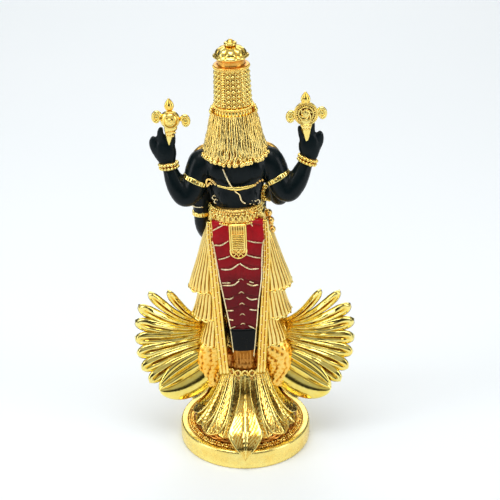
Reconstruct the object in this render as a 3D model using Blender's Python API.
"""Four-armed standing deity on a kneeling winged bird-man, cast in one piece with its round base.

Metres, +Z up. The origin is the centre of the base's underside and the deity faces -Y.
The deity is drawn on a canon of 114 parts from soles to finial, and the bird on one of 54 parts
from the base's top to the tip of its cap, as a carver would. One part is close to a millimetre.
"""

import math

import bmesh
import bpy
from mathutils import Matrix, Vector

# Driving dimensions, in metres
BASE_RADIUS = 0.0235
BASE_THICKNESS = 0.0070
BASE_EDGE = 0.0007
LEDGE_WIDTH = 0.0018
LEDGE_STEP = 0.0005
BIRD_HEIGHT = 0.0540
WING_REACH = 0.0390
FIGURE_HEIGHT = 0.1140
FIGURE_LEAN = math.radians(2.0)
BASE_FACETS = 36

# The two canons
BIRD_PARTS = 54.0
BIRD_PART = BIRD_HEIGHT / BIRD_PARTS
SOLES = 29.0
FIGURE_PARTS = 114.0
BIRD_FRAME = Matrix.Translation((0, 0, BASE_THICKNESS)) @ Matrix.Scale(BIRD_PART, 4)
SOLE_HEIGHT = BASE_THICKNESS + SOLES * BIRD_PART
FIGURE_FRAME = (
    Matrix.Translation((0, 0, SOLE_HEIGHT))
    @ Matrix.Rotation(FIGURE_LEAN, 4, "Y")
    @ Matrix.Scale(FIGURE_HEIGHT / FIGURE_PARTS, 4)
)
# The outermost wing tip is 39 parts from the middle, so this widens the wings to their reach
WING_TIP_PARTS = 39.0
WING_STRETCH = WING_REACH / (WING_TIP_PARTS * BIRD_PART)
RIM_PARTS = BASE_RADIUS / BIRD_PART

SIDES = (1, -1)
GOLD = (0.86, 0.58, 0.16, 1.0)


def clear_scene():
    for old in list(bpy.data.objects):
        bpy.data.objects.remove(old)


def gold_plating():
    material = bpy.data.materials.new("gold_plating")
    material.use_nodes = True
    shader = material.node_tree.nodes["Principled BSDF"]
    shader.inputs["Base Color"].default_value = GOLD
    shader.inputs["Metallic"].default_value = 1.0
    shader.inputs["Roughness"].default_value = 0.22
    return material


# Shells: every form is one closed surface, and they are fused at the end

SHELLS = bpy.data.collections.new("shells")


def link_shell(name, form):
    """Makes the form an object that only the fusing at the end uses."""
    bmesh.ops.recalc_face_normals(form, faces=form.faces)
    mesh = bpy.data.meshes.new(name)
    form.to_mesh(mesh)
    form.free()
    made = bpy.data.objects.new(name, mesh)
    made.hide_render = True
    made.display_type = "WIRE"
    SHELLS.objects.link(made)
    return made


def shell(name, rings, frame, first_tip=None, last_tip=None):
    """A closed surface through rings of equal count, each end fanned to a tip or to its middle."""
    form = bmesh.new()
    loops = [[form.verts.new(frame @ Vector(point)) for point in ring] for ring in rings]
    count = len(loops[0])
    for lower, upper in zip(loops, loops[1:]):
        for i in range(count):
            j = (i + 1) % count
            form.faces.new((lower[i], lower[j], upper[j], upper[i]))
    for loop, tip in ((loops[0], first_tip), (loops[-1], last_tip)):
        middle = sum((corner.co for corner in loop), Vector()) / count
        peak = form.verts.new(frame @ Vector(tip) if tip else middle)
        for i in range(count):
            form.faces.new((loop[i], loop[(i + 1) % count], peak))
    return link_shell(name, form)


def sheet(name, front, back, frame):
    """A closed plate between two grids of points, which have equal rows and columns."""
    form = bmesh.new()
    sides = [
        [[form.verts.new(frame @ Vector(point)) for point in row] for row in grid]
        for grid in (front, back)
    ]
    rows, columns = len(front), len(front[0])
    for grid in sides:
        for r in range(rows - 1):
            for c in range(columns - 1):
                form.faces.new((grid[r][c], grid[r][c + 1], grid[r + 1][c + 1], grid[r + 1][c]))
    rim = [(0, c) for c in range(columns)]
    rim += [(r, columns - 1) for r in range(1, rows)]
    rim += [(rows - 1, c) for c in range(columns - 2, -1, -1)]
    rim += [(r, 0) for r in range(rows - 2, 0, -1)]
    for (r0, c0), (r1, c1) in zip(rim, rim[1:] + rim[:1]):
        form.faces.new((sides[0][r0][c0], sides[0][r1][c1], sides[1][r1][c1], sides[1][r0][c0]))
    return link_shell(name, form)


def circle_points(count):
    return [(math.cos(math.tau * i / count), math.sin(math.tau * i / count)) for i in range(count)]


def level_oval(x, y, z, half_x, half_y, count):
    """A level ring about (x, y) at height z."""
    return [(x + half_x * c, y + half_y * s, z) for c, s in circle_points(count)]


def turned(name, profile, frame, count, centre=(0.0, 0.0)):
    """A turned form from (height, radius) pairs, bottom to top; the last may be a point of radius 0."""
    tip = None
    if profile[-1][1] == 0:
        tip = (*centre, profile[-1][0])
        profile = profile[:-1]
    rings = [level_oval(*centre, z, r, r, count) for z, r in profile]
    return shell(name, rings, frame, last_tip=tip)


def stack(name, levels, frame, count):
    """A form from level ovals (z, half_x, half_y, x, y)."""
    rings = [level_oval(x, y, z, half_x, half_y, count) for z, half_x, half_y, x, y in levels]
    return shell(name, rings, frame)


def directions(points):
    """The direction of a polyline at each of its points."""
    ends = [points[0], *points, points[-1]]
    return [(after - before).normalized() for before, after in zip(ends, ends[2:])]


def limb(name, stations, frame, count=8, flat_to=(0, 1, 0)):
    """A limb through stations (x, y, z, wide, deep): deep is measured along flat_to, wide across it."""
    points = [Vector(station[:3]) for station in stations]
    rings = []
    for point, along, (*_, wide, deep) in zip(points, directions(points), stations):
        across = along.cross(Vector(flat_to)).normalized()
        out = across.cross(along).normalized()
        rings.append(
            [point + across * (wide * c) + out * (deep * s) for c, s in circle_points(count)]
        )
    start = points[0] - directions(points)[0] * (stations[0][3] * 0.5)
    end = points[-1] + directions(points)[-1] * (stations[-1][3] * 0.5)
    return shell(name, rings, frame, tuple(start), tuple(end))


def bezier(start, handle, end, count):
    """Points on the curve that leaves start towards handle and arrives at end."""
    start, handle, end = Vector(start), Vector(handle), Vector(end)
    return [
        start * (1 - t) ** 2 + handle * (2 * t * (1 - t)) + end * t**2
        for t in (i / (count - 1) for i in range(count))
    ]


def feather(name, path, half_widths, facing, rib, frame):
    """A blade with a raised rib: half_widths run from root to tip and facing is its outer side."""
    rings = []
    for point, along, half in zip(path, directions(path), half_widths):
        across = along.cross(Vector(facing)).normalized()
        out = across.cross(along).normalized()
        rings.append(
            [point - across * half, point + out * rib, point + across * half, point - out * rib]
        )
    tip = path[-1] + directions(path)[-1] * half_widths[-1]
    return shell(name, rings, frame, last_tip=tuple(tip))


def banded(stations, bands, swell=0.8, half_length=1.2):
    """Stations (x, y, z, radius) with a raised band added between each given pair of them.

    Each band is (number of the station before it, share of the way to the next one).
    """
    out = []
    for number, station in enumerate(stations):
        out.append(station)
        for before, share in bands:
            if before != number:
                continue
            start, end = Vector(station[:3]), Vector(stations[number + 1][:3])
            along = (end - start).normalized()
            radius = station[3] * (1 - share) + stations[number + 1][3] * share
            for offset, grow in ((-half_length, 0.0), (0.0, swell), (half_length, 0.0)):
                point = start.lerp(end, share) + along * offset
                out.append((*point, radius + grow))
    return [(x, y, z, r, r) for x, y, z, r in out]


def boss(name, centre, half_x, half_y, half_z, frame, count=8):
    """A small rounded knob."""
    x, y, z = centre
    rings = [
        level_oval(x, y, z + half_z * rise, half_x * spread, half_y * spread, count)
        for rise, spread in ((-0.45, 0.95), (0.45, 0.95))
    ]
    return shell(name, rings, frame, (x, y, z - half_z), (x, y, z + half_z))


def round_disc(name, centre, levels, count):
    """A disc whose axis lies along Y, from (y, radius) levels."""
    x, y, z = centre
    rings = [
        [(x + r * c, y + step, z + r * s) for c, s in circle_points(count)] for step, r in levels
    ]
    return shell(name, rings, FIGURE_FRAME)


# Round base, in metres


def make_base():
    ledge = BASE_RADIUS - BASE_EDGE - LEDGE_WIDTH
    profile = [
        (0.0, BASE_RADIUS - BASE_EDGE / 2),
        (BASE_EDGE, BASE_RADIUS),
        (BASE_THICKNESS - BASE_EDGE, BASE_RADIUS),
        (BASE_THICKNESS, BASE_RADIUS - BASE_EDGE),
        (BASE_THICKNESS, ledge),
        (BASE_THICKNESS - LEDGE_STEP, ledge - LEDGE_STEP),
    ]
    return turned("base", profile, Matrix.Identity(4), BASE_FACETS)


# The bird: mound, tail, wings and kneeling body, in its own canon


def make_mound():
    """The bird's back and haunches, which carry the deity's soles on a flat top."""
    spread = RIM_PARTS / 23.5
    levels = [
        (-1.5, 18.5 * spread, 17.8 * spread, 0, 0),
        (2.0, 18.0 * spread, 17.2 * spread, 0, 0),
        (7.0, 13.6, 13.8, 0, 0.5),
        (15.0, 10.0, 10.4, 0, 1.0),
        (22.0, 8.6, 8.6, 0, 1.0),
        (SOLES, 8.4, 7.2, 0, 0.2),
    ]
    stack("mound", levels, BIRD_FRAME, 12)


# Tail feathers: (degrees from the back, tip's share of the base's radius, tip's height, half width)
TAIL = (
    (13, 0.76, 6.8, 3.4),
    (29, 0.90, 3.6, 4.8),
    (51, 0.89, 3.8, 5.0),
    (72, 0.87, 5.8, 4.8),
    (92, 0.86, 8.8, 4.6),
)
TAIL_ROOT_HEIGHT = 21.5
TAIL_ROOT_RADIUS = 8.0
TAIL_SHARES = (0.5, 0.85, 1.0, 0.6)
FEATHER_RIB = 1.0
MIDDLE_FEATHER_PROUD = 0.5
MIDDLE_FEATHER_HALVES = (1.6, 2.2, 4.4, 6.0, 3.4, 1.2)


def tail_path(angle, tip_radius, tip_height, count):
    """A tail feather's midrib: down the mound's hollow slope and out along the ground."""
    out = Vector((math.sin(angle), math.cos(angle), 0))
    up = Vector((0, 0, 1))
    root = out * TAIL_ROOT_RADIUS + up * TAIL_ROOT_HEIGHT
    handle = out * (tip_radius * 0.53) + up * (tip_height + 3.4)
    return bezier(root, handle, out * tip_radius + up * tip_height, count)


def make_tail():
    for degrees, share, height, half in TAIL:
        for side in SIDES:
            path = tail_path(side * math.radians(degrees), RIM_PARTS * share, height, 4)
            widths = [half * w for w in TAIL_SHARES]
            out = Vector((path[-1].x, path[-1].y, 0)).normalized()
            upward = out + Vector((0, 0, 1))
            feather(f"tail_{degrees}_{side}", path, widths, upward, FEATHER_RIB, BIRD_FRAME)
    # The middle feather is a long lozenge that bends over the rim
    over = BASE_THICKNESS / BIRD_PART
    rim = RIM_PARTS + MIDDLE_FEATHER_PROUD
    path = [
        Vector((0, y, z))
        for y, z in (
            (TAIL_ROOT_RADIUS, TAIL_ROOT_HEIGHT),
            (11.0, 13.6),
            (15.4, 8.2),
            (rim - 3.4, 4.6),
            (rim - 0.2, 0.9),
            (rim + 0.4, -0.35 * over),
        )
    ]
    feather("tail_middle", path, MIDDLE_FEATHER_HALVES, (0, 1, 0.8), FEATHER_RIB, BIRD_FRAME)


# Wing feathers, in the bird's parts: (tip x, tip z, root z, bow)
WING = (
    (25.8, 53.5, 38.2, -3.0),
    (32.6, 53.0, 37.4, -3.2),
    (36.8, 47.8, 36.4, -2.8),
    (38.6, 41.7, 35.2, -2.2),
    (39.0, 34.8, 33.8, -1.2),
    (38.7, 28.4, 32.0, -0.2),
    (37.6, 21.8, 29.8, 1.0),
    (34.4, 15.4, 27.2, 2.0),
)
WING_ROOT_X = 13.0
WING_ROOT_Y = -4.5
WING_SWEEP = 7.4
WING_HALF_THICK = 0.9
# Rows of the fan: (share of the way from root to tip, half thickness as a share)
WING_ROWS = ((0.0, 1.0), (0.62, 1.0), (1.0, 0.5))
FEATHER_HALF = 3.0
ROOT_HALF_SHARE = 0.1
TIP_HALF_SHARE = 0.42
CREST_SHARE = 0.55
GROOVE_FRONT = 0.25
GROOVE_BACK = 0.45
NOTCH = 0.88
# The smooth crescent below the feathers: (x, y, z) of its root, handle and tip, then half widths
LOBE = ((11.0, -3.5, 24.6), (18.6, -1.0, 16.2), (28.0, 3.0, 12.9))
LOBE_HALVES = (5.5, 7.4, 8.8, 8.2, 3.8)
LOBE_THICK = 1.9


def wing_point(side, x, y, z):
    return Vector((side * x * WING_STRETCH, y, z))


def wing_row(share):
    """One row across the fan, from root (0) to tips (1), as (x, z, crest) for each column."""
    lines = [(Vector((WING_ROOT_X, root)), Vector((x, z)), bow) for x, z, root, bow in WING]
    row = []
    for number, (root, tip, bow) in enumerate(lines):
        along = (tip - root).normalized()
        across = Vector((along.y, -along.x))
        sag = Vector((0, bow * 4 * share * (1 - share)))
        opened = min(1.0, share * 1.5)
        half = FEATHER_HALF * CREST_SHARE * (ROOT_HALF_SHARE + (1 - ROOT_HALF_SHARE) * opened)
        middle = root.lerp(tip, share) + sag
        if share == 1.0:
            half *= TIP_HALF_SHARE
        row += [(*(middle - across * half), True), (*(middle + across * half), True)]
        if number + 1 < len(lines):
            next_root, next_tip, next_bow = lines[number + 1]
            notch = share * (NOTCH if share == 1.0 else 1.0)
            between = (root + next_root).lerp(tip + next_tip, notch) / 2
            sag = Vector((0, (bow + next_bow) * 2 * notch * (1 - notch)))
            row.append((*(between + sag), False))
    return row


def make_wing(side):
    """The fan of feathers, grooved between them, the crescent below and the coverts at its root."""
    outer, inner = [], []
    for share, thin in WING_ROWS:
        depth = WING_ROOT_Y + WING_SWEEP * share
        row = wing_row(share)
        for grid, way, groove in ((outer, 1, GROOVE_FRONT), (inner, -1, GROOVE_BACK)):
            half = way * WING_HALF_THICK * thin
            grid.append(
                [
                    wing_point(side, x, depth + half * (1.0 if crest else groove), z)
                    for x, z, crest in row
                ]
            )
    sheet(f"wing_{side}", outer, inner, BIRD_FRAME)
    lobe = bezier(*(wing_point(side, *point) for point in LOBE), len(LOBE_HALVES))
    feather(f"wing_lobe_{side}", lobe, LOBE_HALVES, (0, 1, 0.2), LOBE_THICK, BIRD_FRAME)
    covert = [
        (side * 7.0, -9.0, 36.0, 6.0, 4.2),
        (side * 13.0, -5.6, 35.4, 8.2, 3.4),
        (side * 18.0, -4.0, 35.0, 6.4, 1.7),
    ]
    limb(f"covert_{side}", covert, BIRD_FRAME, 7)


def make_bird_body():
    trunk = [
        (1.0, 7.5, 6.0, 0, -11.5),
        (9.0, 8.2, 6.6, 0, -11.5),
        (18.0, 6.4, 5.4, 0, -11.2),
        (31.0, 9.6, 6.0, 0, -10.8),
        (37.5, 9.4, 5.2, 0, -11.0),
        (40.5, 4.0, 3.8, 0, -11.6),
        (43.5, 2.8, 2.8, 0, -12.2),
    ]
    stack("bird_trunk", trunk, BIRD_FRAME, 10)
    head = [
        (41.6, 2.0, 2.2, 0, -13.0),
        (43.2, 3.3, 3.6, 0, -12.9),
        (46.0, 3.9, 4.3, 0, -12.8),
        (48.6, 3.7, 4.0, 0, -12.6),
    ]
    stack("bird_head", head, BIRD_FRAME, 9)
    cap = [(48.0, 4.0), (49.2, 4.2), (50.9, 2.6), (BIRD_PARTS, 0)]
    turned("bird_cap", cap, BIRD_FRAME, 8, (0, -12.4))
    beak = [(0, -15.6, 46.2, 1.5, 1.6), (0, -17.8, 45.8, 1.0, 1.1), (0, -19.0, 44.4, 0.5, 0.5)]
    limb("beak", beak, BIRD_FRAME, 6, (0, 0, 1))
    for side in SIDES:
        arm = [
            (side * 8.6, -11.4, 36.6, 3.0, 3.0),
            (side * 10.4, -15.4, 30.2, 2.6, 2.6),
            (side * 8.0, -18.8, 28.0, 2.2, 2.2),
            (side * 1.4, -20.2, 32.0, 1.6, 1.6),
        ]
        limb(f"bird_arm_{side}", arm, BIRD_FRAME, 6, (0, 0.3, 1))
        thigh = [
            (side * 4.6, -8.0, 6.6, 4.0, 4.0),
            (side * 7.0, -13.0, 5.4, 3.7, 3.7),
            (side * 8.6, -17.6, 3.8, 2.9, 2.9),
        ]
        limb(f"bird_thigh_{side}", thigh, BIRD_FRAME, 7, (0, 0, 1))
    palms = [(0, -20.0, 30.6, 1.7, 1.6), (0, -20.6, 33.6, 1.5, 1.3), (0, -20.6, 37.0, 0.8, 0.8)]
    limb("bird_palms", palms, BIRD_FRAME, 6)


# The deity: legs and drapery


def make_legs():
    for side in SIDES:
        leg = [(side * 2.9, 1.0, 0.6, 2.6, 2.6), (side * 3.0, 0.6, 12.0, 3.0, 3.0)]
        limb(f"leg_{side}", leg, FIGURE_FRAME, 7)
        foot = [
            (side * 2.9, 3.0, 0.9, 1.9, 1.5),
            (side * 3.2, -2.0, 1.2, 2.1, 1.8),
            (side * 3.6, -6.6, 0.5, 2.3, 1.0),
        ]
        limb(f"foot_{side}", foot, FIGURE_FRAME, 6, (0, 0, 1))


def make_body():
    """The wrapped cloth from above the ankles, and the trunk that rises from it to the neck."""
    levels = [
        (9.6, 6.0, 5.4, 0, 0),
        (18.0, 7.2, 6.4, 0, 0),
        (34.0, 9.0, 7.5, 0, 0),
        (50.0, 8.9, 7.2, 0.5, 0.2),
        (60.0, 8.2, 6.2, 0.2, 0),
        (67.5, 11.4, 7.2, 0, 0),
        (71.5, 13.2, 7.2, 0, 0.2),
        (74.8, 12.0, 6.2, 0, 0.4),
        (77.0, 8.0, 5.0, 0, 0.6),
        (79.0, 4.2, 4.2, 0, 0.2),
        (82.0, 3.7, 3.9, 0, -0.4),
    ]
    stack("body", levels, FIGURE_FRAME, 16)


# Swags of the back panel: (height at its edge, half width), each lapping the one below
SWAGS = (
    (51.0, 8.4),
    (44.0, 8.9),
    (38.9, 8.3),
    (34.2, 7.6),
    (28.7, 6.8),
    (22.5, 6.0),
    (17.0, 5.2),
    (11.4, 4.6),
)
SWAG_RISE = 2.6
SWAG_LIP = 0.5
SWAG_EDGE = 0.25
PANEL_INNER_Y = 3.5
PANEL_COLUMNS = (-1.0, -0.6, -0.25, 0.0, 0.25, 0.6, 1.0)


def panel_depth(z):
    """How far back the panel stands at a height."""
    return 7.0 + 1.7 * math.sin(math.pi * min(1.0, max(0.0, (z + 2.0) / 62.0)))


def make_back_panel():
    """The red panel between the sashes, in swags that rise to the middle."""
    rings = []
    for upper, lower in zip(SWAGS, SWAGS[1:]):
        for (z, half), lip, edge in ((upper, 0.0, -SWAG_EDGE), (lower, SWAG_LIP, SWAG_EDGE)):
            level = z + edge
            depth = panel_depth(z) + lip
            ring = [
                (half * c, depth - 0.9 * c * c, level + SWAG_RISE * (1 - abs(c)) ** 1.3)
                for c in PANEL_COLUMNS
            ]
            ring += [(half, PANEL_INNER_Y, level), (-half, PANEL_INNER_Y, level)]
            rings.append(ring)
    shell("back_panel", rings, FIGURE_FRAME)


def make_sashes():
    """Pleated sashes that hang down both sides of the back panel to the tail's root."""
    # Stations (x, y, z, half width)
    path = [
        (9.9, 5.6, 52.0, 1.2),
        (9.9, 7.2, 42.0, 1.4),
        (9.3, 8.0, 27.0, 1.7),
        (8.4, 8.4, 9.0, 2.0),
        (7.3, 8.9, -6.2, 2.0),
    ]
    for side in SIDES:
        rings = []
        for x, y, z, half in path:
            point = Vector((side * x, y, z))
            across = Vector((half, 0, 0))
            out = Vector((0, 1.0, 0))
            rings.append(
                [
                    point - across - out * 1.6,
                    point - across + out * 0.5,
                    point - across * 0.35 + out,
                    point + out * 0.4,
                    point + across * 0.5 + out,
                    point + across + out * 0.4,
                    point + across - out * 1.6,
                ]
            )
        shell(f"sash_{side}", rings, FIGURE_FRAME)


# Side flounces in three tiers, as levels (z, middle x, half x, half y) from top to bottom
FLOUNCES = (
    (48.5, 8.4, 1.7, 4.6),
    (40.0, 9.9, 3.5, 6.4),
    (27.0, 11.0, 6.2, 7.4),
    (24.6, 10.4, 5.4, 6.8),
    (24.2, 9.6, 4.3, 6.0),
    (15.6, 10.6, 6.4, 7.0),
    (13.6, 10.0, 5.4, 6.4),
    (13.2, 8.9, 4.3, 5.8),
    (7.2, 9.0, 5.4, 6.4),
    (2.8, 8.8, 4.8, 6.0),
)
FLOUNCE_PLEAT = 0.07
FLOUNCE_SHIFT = 0.35
FLOUNCE_COUNT = 12


def make_flounces():
    grows = [1 + FLOUNCE_PLEAT, 1 - FLOUNCE_PLEAT] * (FLOUNCE_COUNT // 2)
    for side in SIDES:
        rings = []
        for z, x, half_x, half_y in FLOUNCES:
            middle = side * x + FLOUNCE_SHIFT
            rings.append(
                [
                    (middle + half_x * c * grow, half_y * s * grow, z)
                    for (c, s), grow in zip(circle_points(FLOUNCE_COUNT), grows)
                ]
            )
        shell(f"flounce_{side}", rings, FIGURE_FRAME)


# The belt's middle stands a little to the deity's left
BELT_X = 0.7
BELT_Y = 0.2
BELT_LEVELS = ((53.2, 8.6, 7.6), (54.2, 9.3, 8.5), (57.4, 9.0, 8.2), (58.6, 8.2, 7.2))
# Panels as stations (half width, z, distance from the middle plane) from the belt down
LADDER_PANEL = ((2.2, 54.0, 8.9), (2.3, 46.0, 9.7), (2.7, 42.6, 9.8), (1.6, 40.8, 9.7))
FRONT_PLEATS = ((3.0, 54.5, 8.6), (3.6, 34.0, 9.6), (4.6, 4.6, 8.2))
PLEAT_COUNT = 4
PLEAT_DEEP = 0.5


def make_belt():
    """The belt, with the ladder panel behind and the pleated one in front that hang from it."""
    levels = [(z, half_x, half_y, BELT_X, BELT_Y) for z, half_x, half_y in BELT_LEVELS]
    stack("belt", levels, FIGURE_FRAME, 14)
    rings = []
    for half, z, y in LADDER_PANEL:
        edge = y - 0.4
        ring = [(-half, 6.0, z), (-half, edge, z), (-half * 0.4, y, z)]
        rings.append(ring + [(-x, depth, z) for x, depth, z in reversed(ring)])
    shell("ladder_panel", rings, FIGURE_FRAME)
    rings = []
    for half, z, y in FRONT_PLEATS:
        front = [
            (half * (i / PLEAT_COUNT - 1), -y + (PLEAT_DEEP if i % 2 else 0.0), z)
            for i in range(2 * PLEAT_COUNT + 1)
        ]
        rings.append([(-half, -3.0, z), *front, (half, -3.0, z)])
    shell("front_pleats", rings, FIGURE_FRAME)


# The deity: arms and hands

# Raised arms: the stations of each (x, y, z, radius) from shoulder to wrist
RAISED_ARMS = {
    1: (
        (9.6, 0.2, 74.2, 2.8),
        (12.0, 0.6, 71.4, 4.4),
        (13.8, 1.8, 66.6, 4.0),
        (15.2, 3.0, 61.6, 3.9),
        (17.8, 3.4, 60.4, 3.8),
        (20.0, 2.6, 64.4, 3.3),
        (21.8, 1.4, 69.0, 2.7),
        (22.5, 0.8, 71.6, 2.4),
    ),
    -1: (
        (-9.6, 0.2, 74.2, 2.8),
        (-12.0, 0.6, 71.4, 4.4),
        (-13.8, 1.8, 66.6, 4.0),
        (-15.2, 3.0, 61.8, 3.9),
        (-17.4, 3.4, 60.8, 3.8),
        (-20.2, 2.6, 64.8, 3.3),
        (-22.6, 1.4, 69.0, 2.7),
        (-23.7, 0.8, 71.4, 2.4),
    ),
}
# Palms (x, y, z, half width, half depth)
RAISED_PALMS = {
    1: (
        (22.5, 0.8, 71.4, 2.5, 2.1),
        (23.0, 0.4, 74.4, 3.8, 2.2),
        (23.3, 0.2, 77.2, 3.7, 2.0),
        (22.6, 0.2, 79.4, 2.8, 1.6),
    ),
    -1: (
        (-23.7, 0.8, 71.2, 2.5, 2.1),
        (-25.0, 0.4, 74.4, 3.8, 2.2),
        (-25.3, 0.2, 77.2, 3.7, 2.0),
        (-24.2, 0.2, 79.4, 2.8, 1.6),
    ),
}
# Fingers of a raised hand: (root x, root z, tip x, tip z, radius, y)
RAISED_FINGERS = {
    1: (
        (24.0, 77.0, 24.4, 84.2, 1.2, 0.2),
        (21.3, 77.0, 20.4, 82.2, 1.4, 0.2),
        (25.6, 75.0, 27.1, 79.4, 1.5, -0.5),
    ),
    -1: (
        (-25.4, 77.0, -25.7, 85.0, 1.1, 0.2),
        (-23.2, 77.0, -21.6, 82.6, 1.2, 0.2),
        (-27.4, 75.0, -28.2, 79.4, 1.5, -0.5),
    ),
}
# Armlets and bangles, as (number of the station before, share of the way to the next)
RAISED_BANDS = ((2, 0.3), (6, 0.6))
RIGHT_BANDS = ((1, 0.8), (4, 0.75))
LEFT_BANDS = ((2, 0.75), (3, 0.45), (5, 0.7))


def make_raised_arm(side):
    """The upper arm, which drops and turns up at the elbow, with its palm and three fingers."""
    limb(f"raised_arm_{side}", banded(RAISED_ARMS[side], RAISED_BANDS), FIGURE_FRAME, 8)
    limb(f"raised_palm_{side}", RAISED_PALMS[side], FIGURE_FRAME, 7)
    for number, (root_x, root_z, tip_x, tip_z, radius, y) in enumerate(RAISED_FINGERS[side]):
        finger = [
            (root_x, y, root_z, radius, radius),
            ((root_x + tip_x) / 2, y + 0.1, (root_z + tip_z) / 2, radius, radius),
            (tip_x, y + 0.3, tip_z, radius * 0.8, radius * 0.8),
        ]
        limb(f"raised_finger_{number}_{side}", finger, FIGURE_FRAME, 6)


# Lowered arms: stations (x, y, z, radius), then the hand's (x, y, z, wide, deep) and its fingers' tips
RIGHT_ARM = (
    (-9.8, -1.6, 73.4, 2.6),
    (-12.0, -2.0, 70.4, 4.1),
    (-13.8, -3.2, 62.0, 3.4),
    (-14.2, -4.6, 56.0, 3.1),
    (-12.8, -8.4, 51.2, 2.7),
    (-11.0, -11.4, 47.0, 2.2),
)
RIGHT_HAND = (
    (-10.9, -12.0, 46.2, 2.1, 1.8),
    (-10.4, -13.2, 43.2, 2.9, 1.6),
    (-10.3, -13.7, 40.4, 2.7, 1.4),
)
RIGHT_THUMB = ((-8.8, -13.0, 44.4), (-7.2, -13.6, 41.4))
LEFT_ARM = (
    (9.8, -1.6, 73.4, 2.6),
    (12.2, -2.0, 70.6, 4.2),
    (13.2, -2.6, 62.0, 3.3),
    (12.6, -3.0, 53.0, 2.8),
    (12.0, -4.0, 45.6, 2.8),
    (10.6, -7.6, 42.4, 2.5),
    (9.6, -10.0, 40.4, 2.2),
)
LEFT_HAND = (
    (9.4, -10.4, 39.8, 2.1, 1.7),
    (8.0, -11.2, 37.6, 2.8, 1.6),
    (6.8, -11.5, 35.4, 2.6, 1.4),
)
LEFT_THUMB = ((6.8, -11.6, 39.0), (4.8, -11.8, 37.0))
FINGERS = 4
FINGER_PITCH = 1.3
FINGER_GROOVE = 0.6
# Stations along the fingers: (reach from the knuckles, width share, half thickness)
FINGER_STATIONS = ((-1.4, 1.0, 0.9), (3.4, 1.0, 0.75), (6.0, 0.8, 0.6))
THUMB_RADIUS = 0.9


def make_lowered_arm(name, arm, bands, hand, fingers_along, thumb):
    """A forward arm with its palm, the four fingers as one grooved blade, and the thumb."""
    limb(f"{name}_arm", banded(arm, bands), FIGURE_FRAME, 8)
    limb(f"{name}_palm", hand, FIGURE_FRAME, 6)
    knuckles = Vector(hand[-1][:3])
    along = Vector(fingers_along).normalized()
    across = along.cross(Vector((0, 1, 0))).normalized()
    out = across.cross(along).normalized()
    steps = 2 * FINGERS - 1
    rings = []
    for reach, width, thick in FINGER_STATIONS:
        crest = [
            (
                across * ((i - (steps - 1) / 2) * FINGER_PITCH * 0.5 * width),
                thick * (FINGER_GROOVE if i % 2 else 1.0),
            )
            for i in range(steps)
        ]
        middle = knuckles + along * reach
        rings.append(
            [middle + place + out * rise for place, rise in crest]
            + [middle + place - out * rise for place, rise in reversed(crest)]
        )
    shell(f"{name}_fingers", rings, FIGURE_FRAME)
    stations = [(*point, THUMB_RADIUS, THUMB_RADIUS) for point in thumb]
    limb(f"{name}_thumb", stations, FIGURE_FRAME, 5)


def make_arms():
    for side in SIDES:
        make_raised_arm(side)
    right_fingers = (0.02, -0.05, -1.0)
    make_lowered_arm("right", RIGHT_ARM, RIGHT_BANDS, RIGHT_HAND, right_fingers, RIGHT_THUMB)
    left_fingers = (-0.42, -0.1, -1.0)
    make_lowered_arm("left", LEFT_ARM, LEFT_BANDS, LEFT_HAND, left_fingers, LEFT_THUMB)


# Emblems in the raised hands: (middle x, middle z), and offsets of their two scrolls and spike
EMBLEMS = {
    1: ((21.4, 88.7), (4.3, 0.8), (-4.6, -1.3), (0.9, -11.0)),
    -1: ((-23.6, 89.0), (4.9, -0.3), (-5.1, 0.7), (0.2, -11.4)),
}
EMBLEM_Y = 1.4
# The discs' levels (y, radius): the wheel's hub and rim, and the conch's whorl
WHEEL = ((-0.9, 3.9), (0.8, 3.9), (1.1, 2.6), (1.5, 0.8))
CONCH = ((-1.2, 2.4), (0.4, 3.2), (1.4, 2.2), (2.2, 0.7))
SCROLL_HALVES = (2.2, 1.4, 2.0)


def make_emblem(side, middle_levels):
    """Both emblems share a bud above, scrolls at the sides and a spike held between the fingers."""
    (x, z), *scrolls, (spike_x, spike_z) = EMBLEMS[side]
    y = EMBLEM_Y
    round_disc(f"emblem_{side}", (x, y, z), middle_levels, 12)
    bud = [(x, y, z + 2.6, 1.2, 1.0), (x, y, z + 4.9, 1.7, 1.3), (x, y, z + 6.7, 0.9, 0.8)]
    limb(f"emblem_bud_{side}", bud, FIGURE_FRAME, 6)
    spike = [
        (x, y, z - 2.0, 2.5, 1.1),
        (x + spike_x * 0.6, y, z + spike_z * 0.6, 1.4, 0.8),
        (x + spike_x, y - 0.4, z + spike_z, 0.5, 0.5),
    ]
    limb(f"emblem_spike_{side}", spike, FIGURE_FRAME, 6)
    for number, (dx, dz) in enumerate(scrolls):
        name = f"emblem_scroll_{number}_{side}"
        boss(name, (x + dx, y, z + dz), *SCROLL_HALVES, FIGURE_FRAME, 6)


# The deity: head, hair and crown


def make_head():
    """A plain oval head with a short nose, long ears and drop earrings."""
    levels = [
        (77.9, 2.2, 2.2, 0, -3.9),
        (79.4, 3.6, 3.9, 0, -3.1),
        (81.8, 4.6, 5.0, 0, -2.5),
        (84.6, 5.1, 5.6, 0, -2.1),
        (87.6, 5.2, 5.7, 0, -1.8),
        (90.0, 5.0, 5.4, 0, -1.4),
    ]
    stack("head", levels, FIGURE_FRAME, 12)
    nose = [(0, -7.2, 86.0, 0.5, 0.5), (0, -8.0, 84.2, 0.7, 0.7), (0, -8.1, 82.9, 0.9, 0.7)]
    limb("nose", nose, FIGURE_FRAME, 6)
    for side in SIDES:
        boss(f"ear_{side}", (side * 5.4, -1.4, 84.2), 0.8, 1.2, 1.9, FIGURE_FRAME, 6)
        boss(f"earring_{side}", (side * 5.5, -2.2, 80.9), 1.5, 1.3, 1.9, FIGURE_FRAME, 6)


HAIR_LOCKS = 12
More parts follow.
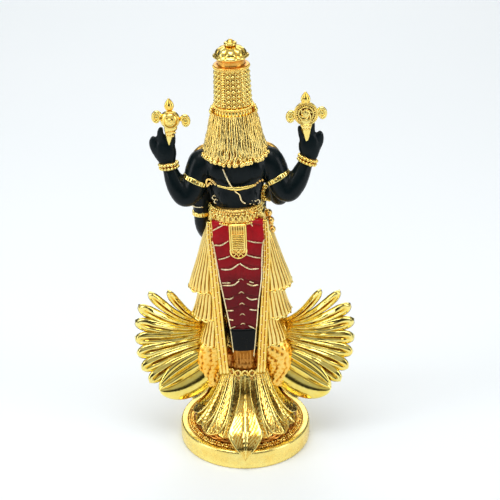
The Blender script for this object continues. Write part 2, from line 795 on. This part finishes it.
# Hair levels: (z at the middle of the back, rise at its sides, half x, half y)
HAIR = (
    (90.6, 0.0, 7.4, 6.6),
    (83.4, 0.5, 8.7, 8.0),
    (77.6, 2.0, 10.3, 9.2),
    (74.6, 3.0, 10.9, 9.6),
    (73.4, 3.4, 10.0, 8.6),
)
# The locks begin this far before each side and so pass the ears
HAIR_PAST_EARS = 8.0
HAIR_INNER_Y = -0.6
LOCK_DEPTH = 0.035
LOCK_DEPTH_GAIN = 0.01


def make_hair():
    """The gilt hair that falls from the crown over the nape, in locks."""
    back_count = 2 * HAIR_LOCKS + 1
    rings = []
    sweep = 180 + 2 * HAIR_PAST_EARS
    for row, (z, rise, half_x, half_y) in enumerate(HAIR):
        flute = 0.0 if row == 0 else LOCK_DEPTH + LOCK_DEPTH_GAIN * row
        ring = []
        for i in range(back_count):
            turn = math.radians(sweep * i / (back_count - 1) - HAIR_PAST_EARS)
            grow = 1 + (flute if i % 2 else -flute)
            across, back = math.cos(turn), math.sin(turn)
            ring.append(
                (half_x * grow * across, half_y * grow * back + 0.4, z + rise * across * across)
            )
        inner_x, inner_z = half_x * 0.5, z + rise * 0.6
        ring += [(-inner_x, HAIR_INNER_Y, inner_z), (inner_x, HAIR_INNER_Y, inner_z)]
        rings.append(ring)
    shell("hair", rings, FIGURE_FRAME)
    for side in SIDES:
        boss(f"temple_curl_{side}", (side * 7.3, 0.6, 90.0), 1.3, 1.5, 1.4, FIGURE_FRAME, 6)


# The crown: its brow band as (z, radius), then the drum with its rows, lid and bud
CROWN_BAND = ((88.4, 6.4), (88.9, 6.9), (91.6, 6.7), (92.2, 6.1))
CROWN_LOW = 92.0
CROWN_HIGH = 105.6
CROWN_ROWS = 5
CROWN_RADIUS = 6.4
CROWN_TAPER = 0.7
CROWN_ROW_DEPTH = 0.35
CROWN_FACETS = 14
LID_LOBES = 8
# The lid's levels (z, radius, depth of the hollows between its lobes)
LID = ((107.6, 5.2, 0.0), (108.3, 5.9, 0.04), (110.2, 4.8, 0.08), (111.5, 2.2, 0.0))


def make_crown():
    """A tall studded drum with a fluted brow band, a lobed lid and a bud."""
    turned("crown_band", CROWN_BAND, FIGURE_FRAME, CROWN_FACETS)
    profile = [(CROWN_LOW - 1.0, CROWN_RADIUS - 0.5)]
    step = (CROWN_HIGH - CROWN_LOW) / CROWN_ROWS
    for row in range(CROWN_ROWS):
        foot = CROWN_LOW + step * row
        radius = CROWN_RADIUS - CROWN_TAPER * row / (CROWN_ROWS - 1)
        profile += [(foot + step * 0.08, radius - CROWN_ROW_DEPTH), (foot + step * 0.5, radius)]
    # The groove below the lid
    top_radius = CROWN_RADIUS - CROWN_TAPER
    groove_radius = top_radius - 1.1
    profile += [
        (CROWN_HIGH, top_radius),
        (CROWN_HIGH + 0.4, groove_radius),
        (LID[0][0] + 0.4, groove_radius),
    ]
    turned("crown_drum", profile, FIGURE_FRAME, CROWN_FACETS)
    rings = []
    for z, radius, depth in LID:
        ring = level_oval(0, 0, z, radius, radius, 2 * LID_LOBES)
        grows = [1 + depth, 1 - depth] * LID_LOBES
        rings.append([(x * grow, y * grow, z) for (x, y, z), grow in zip(ring, grows)])
    shell("crown_lid", rings, FIGURE_FRAME)
    bud = [(110.8, 1.2), (111.7, 1.9), (112.8, 1.8), (FIGURE_PARTS, 0)]
    turned("crown_bud", bud, FIGURE_FRAME, 8)


# The garland's left half as points (x, y, z) from the shoulder down, and its blooms
GARLAND = (
    (7.6, -4.8, 76.0),
    (9.4, -7.6, 66.0),
    (8.8, -7.8, 54.0),
    (10.4, -7.6, 43.0),
    (7.4, -9.8, 33.0),
    (3.0, -10.6, 27.6),
)
BLOOM_PITCH = 6.2
BLOOM_RADIUS = 1.5
STEM_RADIUS = 0.8


def make_garland():
    """The long garland in front, from the shoulders to the knees."""
    half = [Vector(point) for point in GARLAND]
    route = half + [Vector((-p.x, p.y, p.z)) for p in reversed(half)]
    stations = []
    for start, end in zip(route, route[1:]):
        blooms = max(1, round((end - start).length / BLOOM_PITCH))
        for i in range(blooms):
            for share, radius in ((0.0, STEM_RADIUS), (0.5, BLOOM_RADIUS)):
                point = start.lerp(end, (i + share) / blooms)
                stations.append((*point, radius, radius))
    stations.append((*route[-1], STEM_RADIUS, STEM_RADIUS))
    limb("garland", stations, FIGURE_FRAME, 4)


def fuse(material):
    """Fuses every shell with the base into the one cast piece."""
    statue = make_base()
    SHELLS.objects.unlink(statue)
    bpy.context.scene.collection.objects.link(statue)
    statue.name = "statue"
    statue.hide_render = False
    statue.display_type = "TEXTURED"
    statue.data.materials.append(material)
    union = statue.modifiers.new("fuse", "BOOLEAN")
    union.operation = "UNION"
    union.operand_type = "COLLECTION"
    union.collection = SHELLS
    union.solver = "EXACT"
    return statue


def main():
    clear_scene()
    bpy.context.scene.collection.children.link(SHELLS)
    SHELLS.hide_render = True
    make_mound()
    make_tail()
    for side in SIDES:
        make_wing(side)
    make_bird_body()
    make_legs()
    make_body()
    make_back_panel()
    make_sashes()
    make_flounces()
    make_belt()
    make_arms()
    make_emblem(-1, WHEEL)
    make_emblem(1, CONCH)
    make_head()
    make_hair()
    make_crown()
    make_garland()
    fuse(gold_plating())


main()
